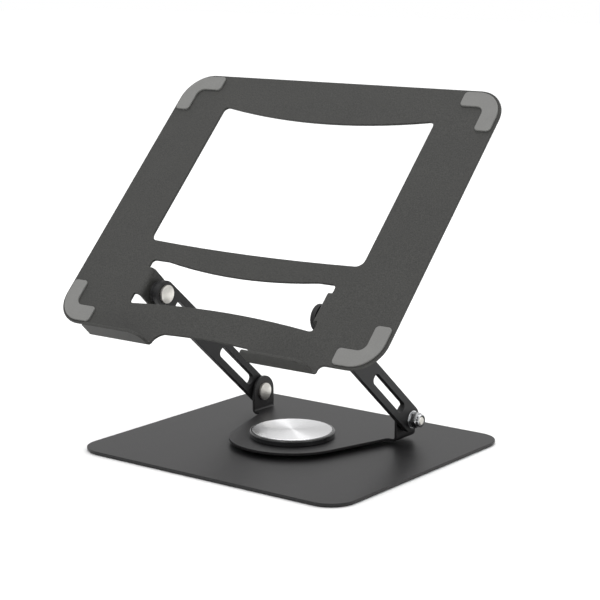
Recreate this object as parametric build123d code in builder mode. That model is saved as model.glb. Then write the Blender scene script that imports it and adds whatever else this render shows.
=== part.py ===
from build123d import *
import os
from math import cos, radians, sin, sqrt

# Adjustable laptop stand of powder-coated sheet steel: a flat base, a swivel plate on a thin ball
# bearing, a pair of slotted friction arms and a tilting tray with corner pads and two retaining lips.
# Millimetres. +X is to the user's right, +Y away from the user, +Z up. The origin is the point of the
# desk under the middle of the base, on the swivel axis. The stand is drawn open, as it is used.

os.makedirs("parts", exist_ok=True)

# ---- Driving dimensions ----------------------------------------------------------------------------
SHEET = 2.0  # thickness of every folded steel sheet
FIT = 0.05  # radial play of a plain hole round its fastener, and the gap at a sliding face
RUNNING = 0.08  # radial play of an arm or the swivel plate on its pin
EDGE = 0.35  # soft edge left by deburring and powder coat
CLOSE = 0.01  # how near two places count as the same when corners and edges are picked

# Base
BASE_WIDTH = 233.0
BASE_DEPTH = 209.0
BASE_CORNER = 20.0
MAT_THICK = 1.0
MAT_INSET = 1.5

# Swivel bearing, as radii about the swivel axis
RACE_THICK = 0.9
BEARING_GAP = 2.9  # free height between the base plate and the swivel plate
RACE_INNER = 8.0
RACE_OUTER = 26.0
BALL = 1.0
BALL_CIRCLE = 20.0
BALL_COUNT = 24
GROOVE = 1.1
CAGE_HALF_WIDTH = 2.5
CAGE_THICK = 0.5
RACE_RIVET = 1.5
RACE_RIVET_CIRCLE = 13.5
RACE_RIVET_COUNT = 4
RACE_RIVET_HEAD = 2.4
RACE_RIVET_SINK = 0.8
PIVOT_RADIUS = 4.0
PIVOT_FLANGE = 7.0
PIVOT_FLANGE_HEIGHT = 1.6
PIVOT_HEAD = 6.5
PIVOT_HEAD_HEIGHT = 1.4
FRICTION_DISC = 10.0
FRICTION_DISC_THICK = 0.5
THRUST_WASHER = 9.5
THRUST_WASHER_THICK = 0.8
DISC_SPRING = 9.0
DISC_SPRING_THICK = 0.4
DISC_SPRING_CONE = 0.2

# Swivel plate
NOSE = 46.0  # radius of the plate's round front about the swivel axis
FLARE = 16.5  # degrees that each straight side opens towards the ears
SWIVEL_REAR = 62.0
EAR_INNER = 64.4  # distance of an ear's inner face from the middle plane
EAR_HALF_WIDTH = 12.0
EAR_BEND = 1.5  # inside radius of the fold
EAR_FOOT_RADIUS = 2.5
LOWER_PIVOT_Y = 48.5
LOWER_PIVOT_RISE = 18.4  # above the top of the base plate

# Cover over the bearing
COVER_DISC = 29.0
COVER_DISC_THICK = 0.9
COVER_RING_OUTER = 31.0
COVER_RING_INNER = 25.5
COVER_LEDGE_RISE = 4.0  # ledge that carries the disc, above the swivel plate
COVER_RIM_RISE = 4.6
COVER_RIM_ROUND = 1.3
COVER_FOOT_ROUND = 0.5
COVER_DISC_ROUND = 0.3

# Arms
ARM_LENGTH = 142.0  # from pivot to pivot
ARM_RAISE = 40.6  # degrees above the horizontal at rest
ARM_HALF_WIDTH = 9.5
ARM_THICK = 4.0
SLOT_WIDTH = 7.8
SLOT_LENGTH = 47.5
SLOT_FROM_PIVOT = 14.5
SLOT_CORNER = 3.4

# Pivot hardware: M6 bolts, washers and lock nuts
BOLT = 3.0
BOLT_HEAD = 6.6
BOLT_HEAD_HEIGHT = 3.2
BOLT_HEAD_RIM = 1.7
BOLT_HEAD_EDGE = 0.2
BOLT_CHAMFER = 0.5
NYLON_THICK = 1.0
NYLON_RADIUS = 8.25
FLAT_WASHER = 6.5
FLAT_WASHER_THICK = 1.2
WASHER_CHAMFER = 0.15
NUT_ACROSS_FLATS = 10.0
NUT_HEX_HEIGHT = 5.2
NUT_HEIGHT = 7.5
NUT_COLLAR = 4.7
NUT_INSERT = 4.0
NUT_INSERT_HEIGHT = 2.0
NUT_INSERT_SUNK = 0.5
NUT_CROWN = 0.7  # rounding of the collar's rim and breadth of the hexagon's chamfer
NUT_CHAMFER = 0.45
SPACER = 8.0
SPACER_LENGTH = 2.2

# Tray, in its own frame: x across, s up the slope from the front edge, h off its top face
TRAY_WIDTH = 282.0
TRAY_DEPTH = 229.5
TRAY_CORNER = 23.0
TRAY_TILT = 46.0
TRAY_PIVOT_S = 42.5
TRAY_PIVOT_H = -15.2
FOLD = 1.7  # inside radius of the tray's folds

# Lips that hold the front edge of the laptop
LIP_INNER_END = 43.8
LIP_OUTER_END = 98.0
LIP_FRONT = -8.0  # s of the outer face
LIP_HEIGHT = 14.3
LIP_LEFT_CORNER = 3.0
LIP_RIGHT_CORNER = 11.5
RECESS_END = 35.7
RECESS_END_S = 2.8
RECESS_MIDDLE_S = 3.9
NOTCH_BULGE = (41.6, -0.9)
NOTCH_CORNER = 4.3
RECESS_CORNER = 3.0

# Upper cut-out of the tray
UPPER_HALF_WIDTH = 93.3
UPPER_FRONT_END_S = 77.0
UPPER_FRONT_MIDDLE_S = 74.6
UPPER_REAR_END_S = 201.0
UPPER_REAR_MIDDLE_S = 192.3
UPPER_FRONT_CORNER = 6.0
UPPER_REAR_CORNER = 4.0

# Lower cut-out of the tray, with the tabs that fold down from its two ends
TAB_INNER = 75.6  # distance of a tab's inner face from the middle plane
TAB_HALF_WIDTH = 11.4
RELIEF_END = 80.9
RELIEF_CORNER = 3.0
RELIEF_TAB_CORNER = 0.8
LOWER_FRONT_END_S = 23.0
LOWER_FRONT_MIDDLE_S = 26.9
LOWER_REAR_END_S = 60.5
LOWER_REAR_MIDDLE_S = 55.2
LOWER_FRONT_BLEND = 77.0  # where each curved edge meets its relief notch
LOWER_REAR_BLEND = 66.0

# Corner pads
PAD_INSET = 1.8
PAD_REACH = 34.4  # from the tray's edge to the end of each leg
PAD_WIDTH = 12.5
PAD_THICK = 1.2
PAD_INNER_RADIUS = 6.0
PAD_END_RADIUS = 3.0
PAD_EDGE = 0.5

SIDES = {"left": -1, "right": 1}

# ---- Levels and places that follow ------------------------------------------------------------------
BASE_BOTTOM = MAT_THICK
BASE_TOP = BASE_BOTTOM + SHEET
BALL_LEVEL = BASE_TOP + BEARING_GAP / 2
SWIVEL_BOTTOM = BASE_TOP + BEARING_GAP
SWIVEL_TOP = SWIVEL_BOTTOM + SHEET
THRUST_BOTTOM = SWIVEL_TOP + FRICTION_DISC_THICK + FIT
SPRING_BOTTOM = THRUST_BOTTOM + THRUST_WASHER_THICK
PIVOT_HEAD_BOTTOM = SPRING_BOTTOM + DISC_SPRING_THICK + DISC_SPRING_CONE

LOWER_PIVOT = (LOWER_PIVOT_Y, BASE_TOP + LOWER_PIVOT_RISE)
UPPER_PIVOT = (
    LOWER_PIVOT[0] - ARM_LENGTH * cos(radians(ARM_RAISE)),
    LOWER_PIVOT[1] + ARM_LENGTH * sin(radians(ARM_RAISE)),
)
EAR_OUTER = EAR_INNER + SHEET
ARM_INNER = EAR_OUTER + NYLON_THICK
ARM_OUTER = ARM_INNER + ARM_THICK
SPACER_INNER = ARM_OUTER + NYLON_THICK
TAB_OUTER = TAB_INNER + SHEET

# Tray frame: its origin is the middle of the front edge of the top face
TILT = radians(TRAY_TILT)
TRAY_ORIGIN = (
    0,
    UPPER_PIVOT[0] - TRAY_PIVOT_S * cos(TILT) + TRAY_PIVOT_H * sin(TILT),
    UPPER_PIVOT[1] - TRAY_PIVOT_S * sin(TILT) - TRAY_PIVOT_H * cos(TILT),
)
TRAY = Plane(origin=TRAY_ORIGIN, x_dir=(1, 0, 0), z_dir=(0, -sin(TILT), cos(TILT)))
UP_SLOPE = TRAY.y_dir


def tray_point(x, s, h):
    """A point given in the tray's own frame."""
    return TRAY.from_local_coords(Vector(x, s, h))


def tray_side_plane(x):
    """The plane across X at x, whose local axes are s and h."""
    return Plane(origin=tray_point(x, 0, 0), x_dir=UP_SLOPE, z_dir=(1, 0, 0))


def tray_front_plane(s):
    """The plane across the slope at s, facing forward, whose local axes are x and h."""
    return Plane(origin=tray_point(0, s, 0), x_dir=(1, 0, 0), z_dir=-UP_SLOPE)


def pivot_plane(pivot):
    """The upright plane through a pivot axis: local X runs along the axis, local Y is the radius."""
    return Plane(origin=(0, *pivot), x_dir=(1, 0, 0), z_dir=(0, -1, 0))


def pivot_axis(pivot):
    return Axis((0, *pivot), (1, 0, 0))


def round_ended_leg(plane, centre, half_width, root):
    """A flat leg from a level root to a half-round end about a centre."""
    along, level = centre
    tip = level + half_width if level > root else level - half_width
    with BuildSketch(plane) as leg:
        with BuildLine():
            Polyline(
                (along - half_width, level),
                (along - half_width, root),
                (along + half_width, root),
                (along + half_width, level),
            )
            ThreePointArc(
                (along + half_width, level), (along, tip), (along - half_width, level)
            )
        make_face()
    return leg


def dome_rise_halfway(radius, rise):
    """Height of a spherical dome above its rim, at half its radius."""
    sphere = (radius**2 + rise**2) / (2 * rise)
    return sqrt(sphere**2 - radius**2 / 4) - (sphere - rise)


def ring_on_pivot(pivot, near, far, bore, rim):
    """A flat ring round a pivot axis, between two distances along it."""
    with BuildPart() as ring:
        with BuildSketch(Plane.YZ.offset(near)):
            with Locations(pivot):
                Circle(rim)
                Circle(bore, mode=Mode.SUBTRACT)
        extrude(amount=far - near)
        rims = ring.edges().filter_by(GeomType.CIRCLE).group_by(SortBy.RADIUS)[-1]
        chamfer(rims, length=WASHER_CHAMFER)
    return ring


def bolt_on_pivot(pivot, side, head_face, end):
    """A round-headed bolt: the head's flat face is at |x| = head_face, the tip at |x| = end."""
    rim = head_face - BOLT_HEAD_RIM
    crown = head_face - BOLT_HEAD_HEIGHT
    halfway = crown + BOLT_HEAD_HEIGHT - BOLT_HEAD_RIM - dome_rise_halfway(BOLT_HEAD, rim - crown)
    with BuildPart() as bolt:
        with BuildSketch(pivot_plane(pivot)):
            with BuildLine():
                Polyline(
                    (side * crown, 0),
                    (side * end, 0),
                    (side * end, BOLT - BOLT_CHAMFER),
                    (side * (end - BOLT_CHAMFER), BOLT),
                    (side * head_face, BOLT),
                    (side * head_face, BOLT_HEAD - BOLT_HEAD_EDGE),
                    (side * (head_face - BOLT_HEAD_EDGE), BOLT_HEAD),
                    (side * rim, BOLT_HEAD),
                )
                ThreePointArc(
                    (side * rim, BOLT_HEAD),
                    (side * halfway, BOLT_HEAD / 2),
                    (side * crown, 0),
                )
            make_face()
        revolve(axis=pivot_axis(pivot))
    return bolt


def nut_on_pivot(pivot, side, seat):
    """A lock nut: a chamfered hexagon and a round collar that holds the nylon insert."""
    corner = NUT_ACROSS_FLATS / 2 / cos(radians(30))
    with BuildPart() as nut:
        with BuildSketch(Plane.YZ.offset(side * seat)):
            with Locations(pivot):
                Circle(corner)
        extrude(amount=side * NUT_HEX_HEIGHT)
        chamfer(nut.edges().filter_by(GeomType.CIRCLE), length=NUT_CHAMFER, length2=NUT_CROWN)
        with BuildSketch(Plane.YZ.offset(side * seat)):
            with Locations(pivot):
                RegularPolygon(NUT_ACROSS_FLATS / 2, 6, major_radius=False)
        extrude(amount=side * NUT_HEX_HEIGHT, mode=Mode.INTERSECT)
        with BuildSketch(Plane.YZ.offset(side * (seat + NUT_HEX_HEIGHT))):
            with Locations(pivot):
                Circle(NUT_COLLAR)
        extrude(amount=side * (NUT_HEIGHT - NUT_HEX_HEIGHT))
        outer = nut.edges().filter_by(GeomType.CIRCLE).sort_by(Axis.X)[-1 if side > 0 else 0]
        fillet(outer, radius=NUT_CROWN)
        with BuildSketch(Plane.YZ.offset(side * seat)):
            with Locations(pivot):
                Circle(BOLT + FIT)
        extrude(amount=side * NUT_HEIGHT, mode=Mode.SUBTRACT)
        with BuildSketch(Plane.YZ.offset(side * (seat + NUT_HEIGHT - NUT_INSERT_HEIGHT))):
            with Locations(pivot):
                Circle(NUT_INSERT)
        extrude(amount=side * NUT_INSERT_HEIGHT, mode=Mode.SUBTRACT)
    return nut


def insert_on_pivot(pivot, side, seat):
    """The nylon ring in the collar of a lock nut."""
    with BuildPart() as insert:
        with BuildSketch(Plane.YZ.offset(side * (seat + NUT_HEIGHT - NUT_INSERT_HEIGHT))):
            with Locations(pivot):
                Circle(NUT_INSERT)
                Circle(BOLT + FIT, mode=Mode.SUBTRACT)
        extrude(amount=side * (NUT_INSERT_HEIGHT - NUT_INSERT_SUNK))
    return insert


# ---- Base -------------------------------------------------------------------------------------------
with BuildPart() as anti_slip_mat:
    with BuildSketch():
        RectangleRounded(
            BASE_WIDTH - 2 * MAT_INSET, BASE_DEPTH - 2 * MAT_INSET, BASE_CORNER - MAT_INSET
        )
    extrude(amount=MAT_THICK)
anti_slip_mat.part.label = "anti_slip_mat"
export_step(anti_slip_mat.part, "parts/anti_slip_mat.step")

with BuildPart() as base_plate:
    with BuildSketch(Plane.XY.offset(BASE_BOTTOM)):
        RectangleRounded(BASE_WIDTH, BASE_DEPTH, BASE_CORNER)
    extrude(amount=SHEET)
    fillet(base_plate.faces().filter_by(Axis.Z).edges(), radius=EDGE)
    # Round hole for the pivot rivet, countersunk from below for its flange
    with BuildSketch(Plane.XZ):
        with BuildLine():
            Polyline(
                (0, BASE_BOTTOM),
                (PIVOT_FLANGE + FIT, BASE_BOTTOM),
                (PIVOT_RADIUS + FIT, BASE_BOTTOM + PIVOT_FLANGE_HEIGHT),
                (PIVOT_RADIUS + FIT, BASE_TOP),
                (0, BASE_TOP),
                close=True,
            )
        make_face()
    revolve(axis=Axis.Z, mode=Mode.SUBTRACT)
    # Countersunk holes for the rivets of the lower race
    with Locations(Plane.XY.offset(BASE_BOTTOM)):
        with PolarLocations(RACE_RIVET_CIRCLE, RACE_RIVET_COUNT):
            Cone(
                RACE_RIVET_HEAD + FIT,
                RACE_RIVET + FIT,
                RACE_RIVET_SINK,
                align=(Align.CENTER, Align.CENTER, Align.MIN),
                mode=Mode.SUBTRACT,
            )
            Cylinder(
                RACE_RIVET + FIT,
                SHEET,
                align=(Align.CENTER, Align.CENTER, Align.MIN),
                mode=Mode.SUBTRACT,
            )
base_plate.part.label = "base_plate"
export_step(base_plate.part, "parts/base_plate.step")

with BuildPart() as pivot_rivet:
    with BuildSketch(Plane.XZ):
        with BuildLine():
            Polyline(
                (0, BASE_BOTTOM),
                (PIVOT_FLANGE, BASE_BOTTOM),
                (PIVOT_RADIUS, BASE_BOTTOM + PIVOT_FLANGE_HEIGHT),
                (PIVOT_RADIUS, PIVOT_HEAD_BOTTOM),
                (PIVOT_HEAD, PIVOT_HEAD_BOTTOM),
                (PIVOT_HEAD, PIVOT_HEAD_BOTTOM + PIVOT_HEAD_HEIGHT / 2),
            )
            ThreePointArc(
                (PIVOT_HEAD, PIVOT_HEAD_BOTTOM + PIVOT_HEAD_HEIGHT / 2),
                (
                    PIVOT_HEAD / 2,
                    PIVOT_HEAD_BOTTOM
                    + PIVOT_HEAD_HEIGHT / 2
                    + dome_rise_halfway(PIVOT_HEAD, PIVOT_HEAD_HEIGHT / 2),
                ),
                (0, PIVOT_HEAD_BOTTOM + PIVOT_HEAD_HEIGHT),
            )
            Line((0, PIVOT_HEAD_BOTTOM + PIVOT_HEAD_HEIGHT), (0, BASE_BOTTOM))
        make_face()
    revolve(axis=Axis.Z)
pivot_rivet.part.label = "pivot_rivet"
export_step(pivot_rivet.part, "parts/pivot_rivet.step")


# ---- Bearing ----------------------------------------------------------------------------------------
def race(bottom, open_face, rivet_face):
    """A ring with a ball groove in its open face. The rivets' countersunk heads lie in that face too."""
    into = bottom + open_face * RACE_THICK
    flip = 0 if rivet_face == "bottom" else 180
    with BuildPart() as ring:
        with BuildSketch(Plane.XY.offset(bottom)):
            Circle(RACE_OUTER)
            Circle(RACE_INNER, mode=Mode.SUBTRACT)
            with PolarLocations(RACE_RIVET_CIRCLE, RACE_RIVET_COUNT):
                Circle(RACE_RIVET + FIT, mode=Mode.SUBTRACT)
        extrude(amount=RACE_THICK)
        with Locations((0, 0, BALL_LEVEL)):
            Torus(BALL_CIRCLE, GROOVE, mode=Mode.SUBTRACT)
        with Locations((0, 0, into)):
            with PolarLocations(RACE_RIVET_CIRCLE, RACE_RIVET_COUNT):
                Cone(
                    RACE_RIVET_HEAD + FIT,
                    RACE_RIVET + FIT,
                    RACE_RIVET_SINK,
                    rotation=(flip, 0, 0),
                    align=(Align.CENTER, Align.CENTER, Align.MIN),
                    mode=Mode.SUBTRACT,
                )
    return ring


def race_rivets(bottom, top, bottom_sunk, top_sunk):
    """A ring of rivets between two levels. A head that isn't countersunk is a low dome."""
    with BuildPart() as rivets:
        with BuildSketch(Plane.XY.offset(bottom)):
            with PolarLocations(RACE_RIVET_CIRCLE, RACE_RIVET_COUNT):
                Circle(RACE_RIVET)
        extrude(amount=top - bottom)
        with Locations((0, 0, bottom)):
            with PolarLocations(RACE_RIVET_CIRCLE, RACE_RIVET_COUNT):
                Cone(
                    RACE_RIVET_HEAD,
                    RACE_RIVET,
                    bottom_sunk,
                    align=(Align.CENTER, Align.CENTER, Align.MIN),
                )
        with Locations((0, 0, top)):
            with PolarLocations(RACE_RIVET_CIRCLE, RACE_RIVET_COUNT):
                Cone(
                    RACE_RIVET_HEAD,
                    RACE_RIVET,
                    abs(top_sunk),
                    rotation=(180 if top_sunk > 0 else 0, 0, 0),
                    align=(Align.CENTER, Align.CENTER, Align.MIN),
                )
    return rivets


lower_race = race(BASE_TOP, 1, "top")
lower_race.part.label = "lower_race"
export_step(lower_race.part, "parts/lower_race.step")

upper_race = race(SWIVEL_BOTTOM - RACE_THICK, 0, "bottom")
upper_race.part.label = "upper_race"
export_step(upper_race.part, "parts/upper_race.step")

lower_race_rivets = race_rivets(
    BASE_BOTTOM, BASE_TOP + RACE_THICK, RACE_RIVET_SINK, RACE_RIVET_SINK
)
lower_race_rivets.part.label = "lower_race_rivets"
export_step(lower_race_rivets.part, "parts/lower_race_rivets.step")

upper_race_rivets = race_rivets(
    SWIVEL_BOTTOM - RACE_THICK, SWIVEL_TOP, RACE_RIVET_SINK, -RACE_RIVET_SINK
)
upper_race_rivets.part.label = "upper_race_rivets"
export_step(upper_race_rivets.part, "parts/upper_race_rivets.step")

with BuildPart() as ball_cage:
    with BuildSketch(Plane.XY.offset(BALL_LEVEL - CAGE_THICK / 2)):
        Circle(BALL_CIRCLE + CAGE_HALF_WIDTH)
        Circle(BALL_CIRCLE - CAGE_HALF_WIDTH, mode=Mode.SUBTRACT)
        with PolarLocations(BALL_CIRCLE, BALL_COUNT):
            Circle(BALL + FIT, mode=Mode.SUBTRACT)
    extrude(amount=CAGE_THICK)
ball_cage.part.label = "ball_cage"
export_step(ball_cage.part, "parts/ball_cage.step")

with BuildPart() as bearing_balls:
    with Locations((0, 0, BALL_LEVEL)):
        with PolarLocations(BALL_CIRCLE, BALL_COUNT):
            Sphere(BALL)
bearing_balls.part.label = "bearing_balls"
export_step(bearing_balls.part, "parts/bearing_balls.step")

with BuildPart() as friction_disc:
    with BuildSketch(Plane.XY.offset(SWIVEL_TOP)):
        Circle(FRICTION_DISC)
        Circle(PIVOT_RADIUS + RUNNING, mode=Mode.SUBTRACT)
    extrude(amount=FRICTION_DISC_THICK)
friction_disc.part.label = "friction_disc"
export_step(friction_disc.part, "parts/friction_disc.step")

with BuildPart() as thrust_washer:
    with BuildSketch(Plane.XY.offset(THRUST_BOTTOM)):
        Circle(THRUST_WASHER)
        Circle(PIVOT_RADIUS + FIT, mode=Mode.SUBTRACT)
    extrude(amount=THRUST_WASHER_THICK)
thrust_washer.part.label = "thrust_washer"
export_step(thrust_washer.part, "parts/thrust_washer.step")

with BuildPart() as disc_spring:
    with BuildSketch(Plane.XZ):
        Polygon(
            (DISC_SPRING, SPRING_BOTTOM),
            (DISC_SPRING, SPRING_BOTTOM + DISC_SPRING_THICK),
            (PIVOT_RADIUS + FIT, PIVOT_HEAD_BOTTOM),
            (PIVOT_RADIUS + FIT, PIVOT_HEAD_BOTTOM - DISC_SPRING_THICK),
            align=None,
        )
    revolve(axis=Axis.Z)
disc_spring.part.label = "disc_spring"
export_step(disc_spring.part, "parts/disc_spring.step")

# ---- Swivel plate -----------------------------------------------------------------------------------
FLARE_ANGLE = radians(FLARE)
TANGENT = (NOSE * cos(FLARE_ANGLE), -NOSE * sin(FLARE_ANGLE))
EAR_FRONT = LOWER_PIVOT_Y - EAR_HALF_WIDTH
EAR_REAR = LOWER_PIVOT_Y + EAR_HALF_WIDTH
BEND_LINE = EAR_INNER - EAR_BEND  # where the flat plate ends and the fold begins
SIDE_END = TANGENT[0] + (EAR_FRONT - TANGENT[1]) * sin(FLARE_ANGLE) / cos(FLARE_ANGLE)


def swivel_ear(side):
    """An upright ear and the quarter-round fold at its foot, ready to join to the flat plate."""
    with BuildPart() as ear:
        with BuildSketch(Plane.XZ.offset(-EAR_FRONT)):
            with Locations((side * BEND_LINE, SWIVEL_TOP + EAR_BEND)):
                Circle(EAR_BEND + SHEET)
                Circle(EAR_BEND, mode=Mode.SUBTRACT)
                Rectangle(
                    EAR_BEND + SHEET,
                    EAR_BEND + SHEET,
                    align=(Align.MIN if side > 0 else Align.MAX, Align.MAX),
                    mode=Mode.INTERSECT,
                )
        extrude(amount=-2 * EAR_HALF_WIDTH)
        upright = Plane.YZ.offset(side * EAR_INNER)
        add(round_ended_leg(upright, LOWER_PIVOT, EAR_HALF_WIDTH, SWIVEL_TOP + EAR_BEND).sketch)
        extrude(amount=SHEET, dir=(side, 0, 0))
        rims = (
            ear.edges()
            .filter_by(Axis.X, reverse=True)
            .filter_by(Axis.Y, reverse=True)
            .filter_by(lambda edge: abs(edge.center().X) > BEND_LINE + CLOSE)
        )
        fillet(rims, radius=EDGE)
        with BuildSketch(Plane.YZ.offset(side * EAR_INNER)):
            with Locations(LOWER_PIVOT):
                Circle(BOLT + FIT)
        extrude(amount=side * SHEET, mode=Mode.SUBTRACT)
    return ear


with BuildPart() as swivel_plate:
    with BuildSketch(Plane.XY.offset(SWIVEL_BOTTOM)) as swivel_plan:
        with BuildLine():
            ThreePointArc((-TANGENT[0], TANGENT[1]), (0, -NOSE), TANGENT)
            for side in SIDES.values():
                Polyline(
                    (side * TANGENT[0], TANGENT[1]),
                    (side * SIDE_END, EAR_FRONT),
                    (side * BEND_LINE, EAR_FRONT),
                    (side * BEND_LINE, EAR_REAR),
                    (side * (BEND_LINE - EAR_BEND), SWIVEL_REAR),
                )
            Line(
                (-(BEND_LINE - EAR_BEND), SWIVEL_REAR), (BEND_LINE - EAR_BEND, SWIVEL_REAR)
            )
        make_face()
        feet = swivel_plan.vertices().filter_by(
            lambda v: abs(v.Y - EAR_FRONT) < CLOSE and abs(v.X) < SIDE_END + CLOSE
        )
        fillet(feet, radius=EAR_FOOT_RADIUS)
    extrude(amount=SHEET)
    outline_edges = (
        swivel_plate.faces()
        .filter_by(Axis.Z)
        .edges()
        .filter_by(lambda edge: abs(edge.center().X) < BEND_LINE - CLOSE)
    )
    fillet(outline_edges, radius=EDGE)
    with BuildSketch(Plane.XY.offset(SWIVEL_BOTTOM)):
        Circle(PIVOT_RADIUS + RUNNING)
        with PolarLocations(RACE_RIVET_CIRCLE, RACE_RIVET_COUNT):
            Circle(RACE_RIVET + FIT)
    extrude(amount=SHEET, mode=Mode.SUBTRACT)
    for side in SIDES.values():
        add(swivel_ear(side).part)
swivel_plate.part.label = "swivel_plate"
export_step(swivel_plate.part, "parts/swivel_plate.step")

# ---- Cover ------------------------------------------------------------------------------------------
with BuildPart() as cover_ring:
    with BuildSketch(Plane.XZ) as cover_section:
        Polygon(
            (COVER_RING_INNER, SWIVEL_TOP),
            (COVER_RING_OUTER, SWIVEL_TOP),
            (COVER_RING_OUTER, SWIVEL_TOP + COVER_RIM_RISE),
            (COVER_DISC + FIT, SWIVEL_TOP + COVER_RIM_RISE),
            (COVER_DISC + FIT, SWIVEL_TOP + COVER_LEDGE_RISE),
            (COVER_RING_INNER, SWIVEL_TOP + COVER_LEDGE_RISE),
            align=None,
        )
        fillet(cover_section.vertices().group_by(Axis.X)[-1].sort_by(Axis.Y)[-1], radius=COVER_RIM_ROUND)
        fillet(cover_section.vertices().group_by(Axis.X)[-1].sort_by(Axis.Y)[0], radius=COVER_FOOT_ROUND)
    revolve(axis=Axis.Z)
cover_ring.part.label = "cover_ring"
export_step(cover_ring.part, "parts/cover_ring.step")

with BuildPart() as cover_disc:
    with BuildSketch(Plane.XY.offset(SWIVEL_TOP + COVER_LEDGE_RISE)):
        Circle(COVER_DISC)
    extrude(amount=COVER_DISC_THICK)
    fillet(cover_disc.edges().group_by(Axis.Z)[-1], radius=COVER_DISC_ROUND)
cover_disc.part.label = "cover_disc"
export_step(cover_disc.part, "parts/cover_disc.step")

# ---- Arms -------------------------------------------------------------------------------------------
RAISE = radians(ARM_RAISE)
for name, side in SIDES.items():
    inner_face = Plane(
        origin=(side * ARM_INNER, *LOWER_PIVOT),
        x_dir=(0, -cos(RAISE), sin(RAISE)),
        z_dir=(1, 0, 0),
    )
    with BuildPart() as arm:
        with BuildSketch(inner_face):
            with Locations((ARM_LENGTH / 2, 0)):
                SlotCenterToCenter(ARM_LENGTH, 2 * ARM_HALF_WIDTH)
            with Locations((0, 0), (ARM_LENGTH, 0)):
                Circle(BOLT + RUNNING, mode=Mode.SUBTRACT)
            slot_middle = SLOT_FROM_PIVOT + SLOT_LENGTH / 2
            with Locations((slot_middle, 0), (ARM_LENGTH - slot_middle, 0)):
                RectangleRounded(SLOT_LENGTH, SLOT_WIDTH, SLOT_CORNER, mode=Mode.SUBTRACT)
        extrude(amount=side * ARM_THICK)
        fillet(arm.faces().filter_by(Axis.X).edges(), radius=EDGE)
    arm.part.label = f"arm_{name}"
    export_step(arm.part, f"parts/arm_{name}.step")

# ---- Pivot hardware ---------------------------------------------------------------------------------
for name, side in SIDES.items():
    # Lower pivot: head, ear, nylon washer, arm, flat washer, lock nut
    lower_bolt = bolt_on_pivot(
        LOWER_PIVOT,
        side,
        EAR_INNER,
        ARM_OUTER + FLAT_WASHER_THICK + NUT_HEIGHT,
    )
    lower_bolt.part.label = f"lower_bolt_{name}"
    export_step(lower_bolt.part, f"parts/lower_bolt_{name}.step")

    lower_nylon = ring_on_pivot(
        LOWER_PIVOT, side * EAR_OUTER, side * (ARM_INNER - FIT), BOLT + FIT, NYLON_RADIUS
    )
    lower_nylon.part.label = f"lower_nylon_washer_{name}"
    export_step(lower_nylon.part, f"parts/lower_nylon_washer_{name}.step")

    lower_seat = ARM_OUTER + FLAT_WASHER_THICK
    lower_washer = ring_on_pivot(
        LOWER_PIVOT, side * (ARM_OUTER + FIT), side * lower_seat, BOLT + FIT, FLAT_WASHER
    )
    lower_washer.part.label = f"lower_flat_washer_{name}"
    export_step(lower_washer.part, f"parts/lower_flat_washer_{name}.step")

    lower_nut = nut_on_pivot(LOWER_PIVOT, side, lower_seat)
    lower_nut.part.label = f"lower_nut_{name}"
    export_step(lower_nut.part, f"parts/lower_nut_{name}.step")

    lower_insert = insert_on_pivot(LOWER_PIVOT, side, lower_seat)
    lower_insert.part.label = f"lower_nut_insert_{name}"
    export_step(lower_insert.part, f"parts/lower_nut_insert_{name}.step")

    # Upper pivot: head, arm, nylon washer, spacer, nylon washer, tab, flat washer, lock nut
    upper_seat = TAB_OUTER + FLAT_WASHER_THICK
    upper_bolt = bolt_on_pivot(UPPER_PIVOT, side, ARM_INNER - FIT, upper_seat + NUT_HEIGHT)
    upper_bolt.part.label = f"upper_bolt_{name}"
    export_step(upper_bolt.part, f"parts/upper_bolt_{name}.step")

    arm_nylon = ring_on_pivot(
        UPPER_PIVOT, side * (ARM_OUTER + FIT), side * SPACER_INNER, BOLT + FIT, NYLON_RADIUS
    )
    arm_nylon.part.label = f"upper_arm_nylon_washer_{name}"
    export_step(arm_nylon.part, f"parts/upper_arm_nylon_washer_{name}.step")

    spacer = ring_on_pivot(
        UPPER_PIVOT,
        side * SPACER_INNER,
        side * (SPACER_INNER + SPACER_LENGTH),
        BOLT + FIT,
        SPACER,
    )
    spacer.part.label = f"upper_spacer_{name}"
    export_step(spacer.part, f"parts/upper_spacer_{name}.step")

    tab_nylon = ring_on_pivot(
        UPPER_PIVOT,
        side * (SPACER_INNER + SPACER_LENGTH),
        side * TAB_INNER,
        BOLT + FIT,
        NYLON_RADIUS,
    )
    tab_nylon.part.label = f"upper_tab_nylon_washer_{name}"
    export_step(tab_nylon.part, f"parts/upper_tab_nylon_washer_{name}.step")

    upper_washer = ring_on_pivot(
        UPPER_PIVOT, side * TAB_OUTER, side * upper_seat, BOLT + FIT, FLAT_WASHER
    )
    upper_washer.part.label = f"upper_flat_washer_{name}"
    export_step(upper_washer.part, f"parts/upper_flat_washer_{name}.step")

    upper_nut = nut_on_pivot(UPPER_PIVOT, side, upper_seat)
    upper_nut.part.label = f"upper_nut_{name}"
    export_step(upper_nut.part, f"parts/upper_nut_{name}.step")

    upper_insert = insert_on_pivot(UPPER_PIVOT, side, upper_seat)
    upper_insert.part.label = f"upper_nut_insert_{name}"
    export_step(upper_insert.part, f"parts/upper_nut_insert_{name}.step")

# ---- Tray -------------------------------------------------------------------------------------------
FOLD_OUTER = FOLD + SHEET
LIP_BEND_S = LIP_FRONT + FOLD_OUTER  # where the flat sheet ends and the lip's fold begins
LIP_INNER_S = LIP_FRONT + SHEET
TAB_BEND_X = TAB_INNER + FOLD_OUTER  # where the flat sheet ends and a tab's fold begins
TAB_FRONT_S = TRAY_PIVOT_S - TAB_HALF_WIDTH
TAB_REAR_S = TRAY_PIVOT_S + TAB_HALF_WIDTH


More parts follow.
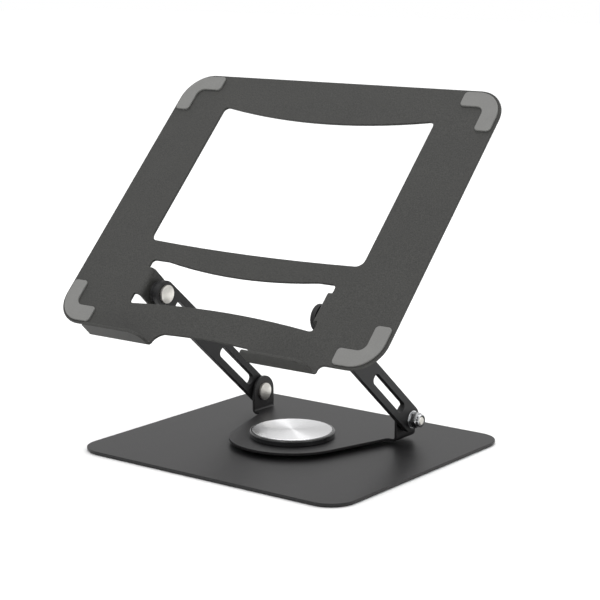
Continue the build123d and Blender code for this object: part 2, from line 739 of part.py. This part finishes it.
def half_front(side):
    """One half of the tray's front edge, from the middle recess round the lip's root to the corner."""
    ThreePointArc(
        (side * RECESS_END, RECESS_END_S),
        (side * NOTCH_BULGE[0], NOTCH_BULGE[1]),
        (side * LIP_INNER_END, LIP_FRONT),
    )
    Line((side * LIP_INNER_END, LIP_FRONT), (side * LIP_OUTER_END, LIP_FRONT))
    Line((side * LIP_OUTER_END, LIP_FRONT), (side * LIP_OUTER_END, -NOTCH_CORNER))
    RadiusArc(
        (side * LIP_OUTER_END, -NOTCH_CORNER),
        (side * (LIP_OUTER_END + NOTCH_CORNER), 0),
        side * NOTCH_CORNER,
    )
    Line((side * (LIP_OUTER_END + NOTCH_CORNER), 0), (side * TRAY_WIDTH / 2, 0))
    Line((side * TRAY_WIDTH / 2, 0), (side * TRAY_WIDTH / 2, TRAY_DEPTH))


def tray_outline(plane):
    """The sheet's outline before folding, lips' roots included."""
    with BuildSketch(plane) as outline:
        with BuildLine():
            ThreePointArc(
                (-RECESS_END, RECESS_END_S), (0, RECESS_MIDDLE_S), (RECESS_END, RECESS_END_S)
            )
            for side in SIDES.values():
                half_front(side)
            Line((-TRAY_WIDTH / 2, TRAY_DEPTH), (TRAY_WIDTH / 2, TRAY_DEPTH))
        make_face()
        corners = [
            corner for corner in outline.vertices() if abs(corner.X) > TRAY_WIDTH / 2 - CLOSE
        ]
        fillet(corners, radius=TRAY_CORNER)
        recess_ends = [
            corner for corner in outline.vertices() if abs(abs(corner.X) - RECESS_END) < CLOSE
        ]
        fillet(recess_ends, radius=RECESS_CORNER)
    return outline


def on_fold_line(edge):
    """Whether an edge of the flat sheet is one that a lip or a tab folds from."""
    place = TRAY.to_local_coords(edge.center())
    return place.Y < LIP_BEND_S + CLOSE or (
        abs(abs(place.X) - TAB_BEND_X) < CLOSE and TAB_FRONT_S < place.Y < TAB_REAR_S
    )


def lip_fold(side):
    """The fold of one lip, trimmed to the sheet's outline."""
    with BuildPart() as fold:
        with BuildSketch(tray_side_plane(side * LIP_OUTER_END)):
            with Locations((LIP_BEND_S, FOLD)):
                Circle(FOLD_OUTER)
                Circle(FOLD, mode=Mode.SUBTRACT)
                Rectangle(
                    FOLD_OUTER, FOLD_OUTER, align=(Align.MAX, Align.MAX), mode=Mode.INTERSECT
                )
        extrude(amount=-side * (LIP_OUTER_END - RECESS_END))
        add(tray_outline(TRAY.offset(-SHEET)).sketch)
        extrude(amount=FOLD_OUTER, dir=TRAY.z_dir, mode=Mode.INTERSECT)
    return fold


def lip_leg(side):
    """The upright leg of one lip."""
    left_end = min(side * LIP_INNER_END, side * LIP_OUTER_END)
    right_end = max(side * LIP_INNER_END, side * LIP_OUTER_END)
    with BuildPart() as leg:
        with BuildSketch(tray_front_plane(LIP_INNER_S)) as outline:
            Polygon(
                (left_end, FOLD),
                (right_end, FOLD),
                (right_end, LIP_HEIGHT),
                (left_end, LIP_HEIGHT),
                align=None,
            )
            fillet(outline.vertices().group_by(Axis.Y)[-1].sort_by(Axis.X)[0], radius=LIP_LEFT_CORNER)
            fillet(outline.vertices().group_by(Axis.Y)[-1].sort_by(Axis.X)[-1], radius=LIP_RIGHT_CORNER)
        extrude(amount=SHEET)
        rims = (
            leg.edges()
            .filter_by(Axis(TRAY_ORIGIN, tuple(UP_SLOPE)), reverse=True)
            .filter_by(lambda edge: TRAY.to_local_coords(edge.center()).Z > FOLD + CLOSE)
        )
        fillet(rims, radius=EDGE)
    return leg


def tray_tab(side):
    """One tab: its fold, and a leg that is round-ended about the pivot."""
    with BuildPart() as tab:
        with BuildSketch(tray_front_plane(TAB_FRONT_S)):
            with Locations((side * TAB_BEND_X, -FOLD_OUTER)):
                Circle(FOLD_OUTER)
                Circle(FOLD, mode=Mode.SUBTRACT)
                Rectangle(
                    FOLD_OUTER,
                    FOLD_OUTER,
                    align=(Align.MAX if side > 0 else Align.MIN, Align.MIN),
                    mode=Mode.INTERSECT,
                )
        extrude(amount=-2 * TAB_HALF_WIDTH)
        upright = tray_side_plane(side * TAB_INNER)
        pivot = (TRAY_PIVOT_S, TRAY_PIVOT_H)
        add(round_ended_leg(upright, pivot, TAB_HALF_WIDTH, -FOLD_OUTER).sketch)
        extrude(amount=SHEET, dir=(side, 0, 0))
        rims = (
            tab.edges()
            .filter_by(Axis.X, reverse=True)
            .filter_by(Axis(TRAY_ORIGIN, tuple(UP_SLOPE)), reverse=True)
            .filter_by(lambda edge: abs(edge.center().X) < TAB_BEND_X - CLOSE)
        )
        fillet(rims, radius=EDGE)
        with BuildSketch(tray_side_plane(side * TAB_INNER)):
            with Locations((TRAY_PIVOT_S, TRAY_PIVOT_H)):
                Circle(BOLT + FIT)
        extrude(amount=side * SHEET, mode=Mode.SUBTRACT)
    return tab


with BuildPart() as tray_plate:
    add(tray_outline(TRAY.offset(-SHEET)).sketch)
    extrude(amount=SHEET, dir=TRAY.z_dir)
    # Trim the lips' roots back to the start of their folds
    with BuildSketch(TRAY):
        with Locations((0, LIP_BEND_S)):
            Rectangle(TRAY_WIDTH, TRAY_WIDTH, align=(Align.CENTER, Align.MAX))
    extrude(amount=-SHEET, mode=Mode.SUBTRACT)

    # Upper cut-out, both long edges bowed towards the user
    with BuildSketch(TRAY) as upper_cutout:
        with BuildLine():
            ThreePointArc(
                (-UPPER_HALF_WIDTH, UPPER_FRONT_END_S),
                (0, UPPER_FRONT_MIDDLE_S),
                (UPPER_HALF_WIDTH, UPPER_FRONT_END_S),
            )
            ThreePointArc(
                (-UPPER_HALF_WIDTH, UPPER_REAR_END_S),
                (0, UPPER_REAR_MIDDLE_S),
                (UPPER_HALF_WIDTH, UPPER_REAR_END_S),
            )
            for side in SIDES.values():
                Line(
                    (side * UPPER_HALF_WIDTH, UPPER_FRONT_END_S),
                    (side * UPPER_HALF_WIDTH, UPPER_REAR_END_S),
                )
        make_face()
        fillet(upper_cutout.vertices().group_by(Axis.Y)[0], radius=UPPER_FRONT_CORNER)
        fillet(upper_cutout.vertices().group_by(Axis.Y)[-1], radius=UPPER_REAR_CORNER)
    extrude(amount=-SHEET, mode=Mode.SUBTRACT)

    # Lower cut-out, waisted in the middle, with relief notches either side of each tab
    with BuildSketch(TRAY) as lower_cutout:
        with BuildLine():
            ThreePointArc(
                (-LOWER_REAR_BLEND, LOWER_REAR_END_S),
                (0, LOWER_REAR_MIDDLE_S),
                (LOWER_REAR_BLEND, LOWER_REAR_END_S),
            )
            ThreePointArc(
                (-LOWER_FRONT_BLEND, LOWER_FRONT_END_S),
                (0, LOWER_FRONT_MIDDLE_S),
                (LOWER_FRONT_BLEND, LOWER_FRONT_END_S),
            )
            for side in SIDES.values():
                Polyline(
                    (side * LOWER_REAR_BLEND, LOWER_REAR_END_S),
                    (side * RELIEF_END, LOWER_REAR_END_S),
                    (side * RELIEF_END, TAB_REAR_S),
                    (side * TAB_BEND_X, TAB_REAR_S),
                    (side * TAB_BEND_X, TAB_FRONT_S),
                    (side * RELIEF_END, TAB_FRONT_S),
                    (side * RELIEF_END, LOWER_FRONT_END_S),
                    (side * LOWER_FRONT_BLEND, LOWER_FRONT_END_S),
                )
        make_face()
        for from_pivot, radius in (
            (TRAY_PIVOT_S - LOWER_FRONT_END_S, RELIEF_CORNER),
            (LOWER_REAR_END_S - TRAY_PIVOT_S, RELIEF_CORNER),
            (TAB_HALF_WIDTH, RELIEF_TAB_CORNER),
        ):
            notch_corners = [
                corner
                for corner in lower_cutout.vertices()
                if abs(corner.X) > RELIEF_END - CLOSE
                and abs(abs(corner.Y - TRAY_PIVOT_S) - from_pivot) < CLOSE
            ]
            fillet(notch_corners, radius=radius)
    extrude(amount=-SHEET, mode=Mode.SUBTRACT)

    sheet_faces = tray_plate.faces().filter_by(Axis(TRAY_ORIGIN, tuple(TRAY.z_dir)))
    fillet(
        [edge for edge in sheet_faces.edges() if not on_fold_line(edge)], radius=EDGE
    )
    for side in SIDES.values():
        add(lip_fold(side).part)
        add(lip_leg(side).part)
        add(tray_tab(side).part)
tray_plate.part.label = "tray_plate"
export_step(tray_plate.part, "parts/tray_plate.step")

# ---- Corner pads ------------------------------------------------------------------------------------
PAD_INNER = PAD_INSET + PAD_WIDTH


def pad_corner(side, front, across, along):
    """A point in the tray's frame, measured inwards from one of its corners."""
    return (side * (TRAY_WIDTH / 2 - across), along if front else TRAY_DEPTH - along)


for depth_name, front in {"front": True, "rear": False}.items():
    for name, side in SIDES.items():
        with BuildPart() as pad:
            with BuildSketch(TRAY) as pad_shape:
                outline = {
                    pad_corner(side, front, PAD_INSET, PAD_INSET): TRAY_CORNER - PAD_INSET,
                    pad_corner(side, front, PAD_REACH, PAD_INSET): PAD_END_RADIUS,
                    pad_corner(side, front, PAD_REACH, PAD_INNER): PAD_END_RADIUS,
                    pad_corner(side, front, PAD_INNER, PAD_INNER): PAD_INNER_RADIUS,
                    pad_corner(side, front, PAD_INNER, PAD_REACH): PAD_END_RADIUS,
                    pad_corner(side, front, PAD_INSET, PAD_REACH): PAD_END_RADIUS,
                }
                Polygon(*outline, align=None)
                for corner, radius in outline.items():
                    fillet(pad_shape.vertices().sort_by_distance((*corner, 0))[0], radius=radius)
            extrude(amount=PAD_THICK)
            top_face = pad.faces().sort_by(Axis(TRAY_ORIGIN, tuple(TRAY.z_dir)))[-1]
            fillet(top_face.edges(), radius=PAD_EDGE)
        pad.part.label = f"pad_{depth_name}_{name}"
        export_step(pad.part, f"parts/pad_{depth_name}_{name}.step")
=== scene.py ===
from math import cos, radians, sin

import bpy
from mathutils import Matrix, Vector

# A folding laptop stand of powder-coated sheet steel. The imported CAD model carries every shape.
# This script gives each node its finish, and adds the studio: floor, lights and camera.

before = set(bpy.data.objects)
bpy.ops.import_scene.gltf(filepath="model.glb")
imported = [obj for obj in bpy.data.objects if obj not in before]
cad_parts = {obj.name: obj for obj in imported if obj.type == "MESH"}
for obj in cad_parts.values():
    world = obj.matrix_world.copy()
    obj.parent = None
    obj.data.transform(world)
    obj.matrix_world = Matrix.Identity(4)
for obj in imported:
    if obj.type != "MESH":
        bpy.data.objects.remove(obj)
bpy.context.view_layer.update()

MM = 0.001

# ---- Node graph helpers -----------------------------------------------------------------------------


class Graph:
    """A material's node tree, with short calls for the few nodes that the finishes share."""

    def __init__(self, name, color, roughness, metallic=0.0, **sockets):
        self.material = bpy.data.materials.new(name)
        self.material.use_nodes = True
        self.nodes = self.material.node_tree.nodes
        self.links = self.material.node_tree.links
        self.shader = self.nodes["Principled BSDF"]
        self.shader.inputs["Base Color"].default_value = (*color, 1)
        self.shader.inputs["Roughness"].default_value = roughness
        self.shader.inputs["Metallic"].default_value = metallic
        for socket, value in sockets.items():
            self.shader.inputs[socket.replace("_", " ")].default_value = value
        self.place = self.nodes.new("ShaderNodeTexCoord").outputs["Object"]

    def link(self, source, target):
        self.links.new(source, target)

    def moved(self, offset=(0, 0, 0), scale=(1, 1, 1)):
        """Object coordinates, shifted and stretched, in metres."""
        mapping = self.nodes.new("ShaderNodeMapping")
        mapping.vector_type = "POINT"
        mapping.inputs["Location"].default_value = offset
        mapping.inputs["Scale"].default_value = scale
        self.link(self.place, mapping.inputs["Vector"])
        return mapping.outputs["Vector"]

    def noise(self, size, detail=2.0, roughness=0.5, at=None):
        """Noise with features of about this size, in metres."""
        noise = self.nodes.new("ShaderNodeTexNoise")
        noise.inputs["Scale"].default_value = 1 / size
        noise.inputs["Detail"].default_value = detail
        noise.inputs["Roughness"].default_value = roughness
        self.link(at or self.place, noise.inputs["Vector"])
        return noise.outputs["Fac"]

    def ramp(self, value, *stops):
        """A colour ramp. Each stop is (position, colour), where a colour may be one number."""
        ramp = self.nodes.new("ShaderNodeValToRGB")
        elements = ramp.color_ramp.elements
        while len(elements) < len(stops):
            elements.new(0.5)
        for element, (position, color) in zip(elements, stops):
            element.position = position
            element.color = (*color, 1) if isinstance(color, tuple) else (color, color, color, 1)
        self.link(value, ramp.inputs["Fac"])
        return ramp.outputs["Color"]

    def math(self, operation, first, second=None):
        node = self.nodes.new("ShaderNodeMath")
        node.operation = operation
        for socket, value in zip(node.inputs, (first, second)):
            if isinstance(value, (int, float)):
                socket.default_value = value
            elif value is not None:
                self.link(value, socket)
        return node.outputs["Value"]

    def spread(self, value, low, high):
        """Maps 0..1 onto low..high."""
        node = self.nodes.new("ShaderNodeMapRange")
        node.inputs["To Min"].default_value = low
        node.inputs["To Max"].default_value = high
        self.link(value, node.inputs["Value"])
        return node.outputs["Result"]

    def tint(self, first, second, blend="MULTIPLY", amount=1.0):
        mix = self.nodes.new("ShaderNodeMix")
        mix.data_type = "RGBA"
        mix.blend_type = blend
        mix.inputs["Factor"].default_value = amount
        self.link(first, mix.inputs["A"])
        self.link(second, mix.inputs["B"])
        return mix.outputs["Result"]

    def color(self, value):
        self.link(value, self.shader.inputs["Base Color"])

    def roughness(self, value):
        self.link(value, self.shader.inputs["Roughness"])

    def bump(self, height, depth, strength=1.0):
        """Raises the surface by up to depth, in metres."""
        bump = self.nodes.new("ShaderNodeBump")
        bump.inputs["Distance"].default_value = depth
        bump.inputs["Strength"].default_value = strength
        self.link(height, bump.inputs["Height"])
        previous = self.shader.inputs["Normal"].links
        if previous:
            self.link(previous[0].from_socket, bump.inputs["Normal"])
        self.link(bump.outputs["Normal"], self.shader.inputs["Normal"])


def scaled(color, factor):
    return tuple(channel * factor for channel in color)


# ---- Finishes ---------------------------------------------------------------------------------------


def powder_coat(name, color, roughness=0.5, contrast=0.5, grain=0.9 * MM):
    """Fine-textured powder coat: a speckled colour over a grain that breaks up the reflection."""
    coat = Graph(name, color, roughness, Specular_IOR_Level=0.38)
    speckle = coat.noise(grain, detail=3, roughness=0.6)
    cloud = coat.noise(38 * MM, detail=3)
    fine = coat.ramp(
        speckle, (0.3, scaled(color, 1 - contrast)), (0.7, scaled(color, 1 + contrast))
    )
    drift = coat.ramp(cloud, (0.3, 0.94), (0.7, 1.06))
    coat.color(coat.tint(fine, drift))
    coat.roughness(coat.spread(speckle, roughness - 0.06, roughness + 0.08))
    coat.bump(speckle, 0.05 * MM, strength=0.8)
    coat.bump(coat.noise(2.2 * MM, detail=1), 0.05 * MM, strength=0.35)
    return coat.material


def plated_steel(name, color, roughness):
    """Plated steel: bright metal with fine tumbling scratches and faint clouding."""
    plate = Graph(name, color, roughness, metallic=1.0)
    cloud = plate.noise(3 * MM, detail=4)
    plate.color(plate.ramp(cloud, (0.25, scaled(color, 0.86)), (0.75, color)))
    scratch = plate.noise(0.25 * MM, detail=2, at=plate.moved(scale=(1, 6, 1)))
    plate.roughness(plate.spread(cloud, roughness - 0.05, roughness + 0.09))
    plate.bump(scratch, 0.01 * MM, strength=0.5)
    return plate.material


def spun_aluminium(name):
    """A spun face: concentric turning marks about the disc's axis stretch each highlight radially."""
    color = (0.88, 0.88, 0.89)
    face = Graph(name, color, 0.24, metallic=1.0, Anisotropic=0.97, Anisotropic_Rotation=0.25)
    tangent = face.nodes.new("ShaderNodeTangent")
    tangent.direction_type = "RADIAL"
    tangent.axis = "Z"
    face.link(tangent.outputs["Tangent"], face.shader.inputs["Tangent"])
    split = face.nodes.new("ShaderNodeSeparateXYZ")
    face.link(face.place, split.inputs["Vector"])
    x, y = split.outputs["X"], split.outputs["Y"]
    radius = face.math(
        "SQRT", face.math("ADD", face.math("MULTIPLY", x, x), face.math("MULTIPLY", y, y))
    )
    rings = face.nodes.new("ShaderNodeTexNoise")
    rings.noise_dimensions = "1D"
    rings.inputs["Scale"].default_value = 1 / (0.22 * MM)
    rings.inputs["Detail"].default_value = 3
    face.link(radius, rings.inputs["W"])
    marks = rings.outputs["Fac"]
    face.color(face.ramp(marks, (0.3, scaled(color, 0.93)), (0.7, color)))
    face.roughness(face.spread(marks, 0.2, 0.3))
    face.bump(marks, 0.006 * MM, strength=0.4)
    return face.material


def moulded(name, color, roughness, grain=0.3 * MM, depth=0.02 * MM, contrast=0.08, **sockets):
    """A moulded plastic or rubber: an even colour with a fine moulded texture."""
    skin = Graph(name, color, roughness, **sockets)
    speckle = skin.noise(grain, detail=2)
    cloud = skin.noise(12 * MM, detail=2)
    fine = skin.ramp(
        speckle, (0.3, scaled(color, 1 - contrast)), (0.7, scaled(color, 1 + contrast))
    )
    skin.color(skin.tint(fine, skin.ramp(cloud, (0.3, 0.96), (0.7, 1.04))))
    skin.roughness(skin.spread(cloud, roughness * 0.92, min(1, roughness * 1.08)))
    skin.bump(speckle, depth, strength=0.6)
    return skin.material


TRAY_COAT = powder_coat("tray_powder_coat", (0.0275, 0.0275, 0.0252), roughness=0.55)
BASE_COAT = powder_coat("base_powder_coat", (0.0085, 0.0082, 0.0088), roughness=0.4)
BLACK_COAT = powder_coat("black_powder_coat", (0.007, 0.007, 0.0075), roughness=0.5)
ZINC = plated_steel("zinc_plate", (0.6, 0.61, 0.62), 0.2)
NICKEL = plated_steel("nickel_plate", (0.84, 0.82, 0.77), 0.4)
BEARING = plated_steel("bearing_steel", (0.6, 0.6, 0.62), 0.25)
ALUMINIUM = spun_aluminium("spun_aluminium")
GLOSS_BLACK = moulded(
    "gloss_black_plastic", (0.008, 0.008, 0.009), 0.08, depth=0.002 * MM, Coat_Weight=0.4
)
BLACK_NYLON = moulded("black_nylon", (0.02, 0.02, 0.021), 0.38)
WHITE_NYLON = moulded("white_nylon", (0.75, 0.74, 0.68), 0.4)
PAD_SILICONE = moulded(
    "pad_silicone", (0.165, 0.165, 0.159), 0.62, grain=0.35 * MM, depth=0.04 * MM, contrast=0.12
)
MAT_SILICONE = moulded("mat_silicone", (0.03, 0.03, 0.031), 0.6, grain=0.6 * MM, depth=0.06 * MM)

FINISHES = [
    ("tray_plate", TRAY_COAT),
    ("base_plate", BASE_COAT),
    ("swivel_plate", BASE_COAT),
    ("arm_", BLACK_COAT),
    ("pad_", PAD_SILICONE),
    ("anti_slip_mat", MAT_SILICONE),
    ("cover_disc", ALUMINIUM),
    ("cover_ring", GLOSS_BLACK),
    ("ball_cage", WHITE_NYLON),
    ("friction_disc", WHITE_NYLON),
    ("bearing_balls", BEARING),
    ("lower_race_rivets", ZINC),
    ("upper_race_rivets", ZINC),
    ("lower_race", BEARING),
    ("upper_race", BEARING),
    ("disc_spring", BEARING),
    ("thrust_washer", ZINC),
    ("pivot_rivet", ZINC),
    ("lower_bolt", NICKEL),
    ("upper_bolt", NICKEL),
    ("lower_nut_insert", BLACK_NYLON),
    ("upper_nut_insert", BLACK_NYLON),
    ("lower_nut", ZINC),
    ("upper_nut", ZINC),
    ("lower_flat_washer", ZINC),
    ("upper_flat_washer", ZINC),
    ("lower_nylon_washer", BLACK_NYLON),
    ("upper_arm_nylon_washer", BLACK_NYLON),
    ("upper_tab_nylon_washer", BLACK_NYLON),
    ("upper_spacer", BLACK_NYLON),
]

for node_name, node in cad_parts.items():
    finish = next(look for prefix, look in FINISHES if node_name.startswith(prefix))
    for slot_index in range(len(node.material_slots)):
        node.material_slots[slot_index].material = finish

# ---- Studio -----------------------------------------------------------------------------------------
HORIZON_STRENGTH = 0.3
ZENITH_STRENGTH = 1.75


def studio_floor():
    """A wide pale floor under the stand."""
    half = 6.0
    mesh = bpy.data.meshes.new("studio_floor")
    corners = [(-half, -half, 0), (half, -half, 0), (half, half, 0), (-half, half, 0)]
    mesh.from_pydata(corners, [], [(0, 1, 2, 3)])
    floor = bpy.data.objects.new("studio_floor", mesh)
    bpy.context.scene.collection.objects.link(floor)
    paper = Graph("studio_paper", (0.93, 0.93, 0.93), 0.9, Specular_IOR_Level=0.1)
    paper.color(paper.ramp(paper.noise(0.25), (0.3, 0.925), (0.7, 0.94)))
    mesh.materials.append(paper.material)


def softbox(name, place, aim, size, power):
    light = bpy.data.lights.new(name, "AREA")
    light.shape = "RECTANGLE"
    light.size, light.size_y = size
    light.energy = power
    lamp = bpy.data.objects.new(name, light)
    lamp.location = place
    lamp.rotation_euler = (Vector(place) - Vector(aim)).to_track_quat("Z", "Y").to_euler()
    bpy.context.scene.collection.objects.link(lamp)


def studio_world():
    """A white surround that the camera sees, and a sky for the object that darkens to the horizon."""
    world = bpy.data.worlds.new("studio_world")
    bpy.context.scene.world = world
    world.use_nodes = True
    nodes, links = world.node_tree.nodes, world.node_tree.links
    split = nodes.new("ShaderNodeSeparateXYZ")
    links.new(nodes.new("ShaderNodeTexCoord").outputs["Generated"], split.inputs["Vector"])
    climb = nodes.new("ShaderNodeMapRange")
    climb.inputs["To Min"].default_value = HORIZON_STRENGTH
    climb.inputs["To Max"].default_value = ZENITH_STRENGTH
    links.new(split.outputs["Z"], climb.inputs["Value"])
    sky = nodes["Background"]
    sky.inputs["Color"].default_value = (1, 1, 1, 1)
    links.new(climb.outputs["Result"], sky.inputs["Strength"])
    backdrop = nodes.new("ShaderNodeBackground")
    backdrop.inputs["Color"].default_value = (1, 1, 1, 1)
    rays = nodes.new("ShaderNodeLightPath")
    mix = nodes.new("ShaderNodeMixShader")
    links.new(rays.outputs["Is Camera Ray"], mix.inputs["Fac"])
    links.new(sky.outputs["Background"], mix.inputs[1])
    links.new(backdrop.outputs["Background"], mix.inputs[2])
    links.new(mix.outputs["Shader"], nodes["World Output"].inputs["Surface"])


def studio_camera():
    """The three-quarter view from the user's right, a little above the tray's pivots."""
    azimuth, elevation = radians(37.24), radians(11.34)
    distance = 1.2861
    aim = Vector((0.0033, 0.0048, 0.1078))
    away = Vector(
        (sin(azimuth) * cos(elevation), -cos(azimuth) * cos(elevation), sin(elevation))
    )
    data = bpy.data.cameras.new("camera")
    data.lens = 107.85
    data.sensor_width = 36
    camera = bpy.data.objects.new("camera", data)
    camera.location = aim + away * distance
    camera.rotation_euler = away.to_track_quat("Z", "Y").to_euler()
    bpy.context.scene.collection.objects.link(camera)
    bpy.context.scene.camera = camera


studio_floor()
studio_world()
softbox("key_light", (0.2, -1.5, 1.5), (0, 0, 0.05), (0.45, 0.45), 3)
softbox("top_light", (-0.24, 0.83, 1.8), (0, 0, 0), (0.4, 0.8), 5)
softbox("side_light", (1.7, -0.2, 0.9), (0, 0, 0.1), (0.7, 1.2), 1.5)
studio_camera()
bpy.context.scene.view_settings.view_transform = "Standard"
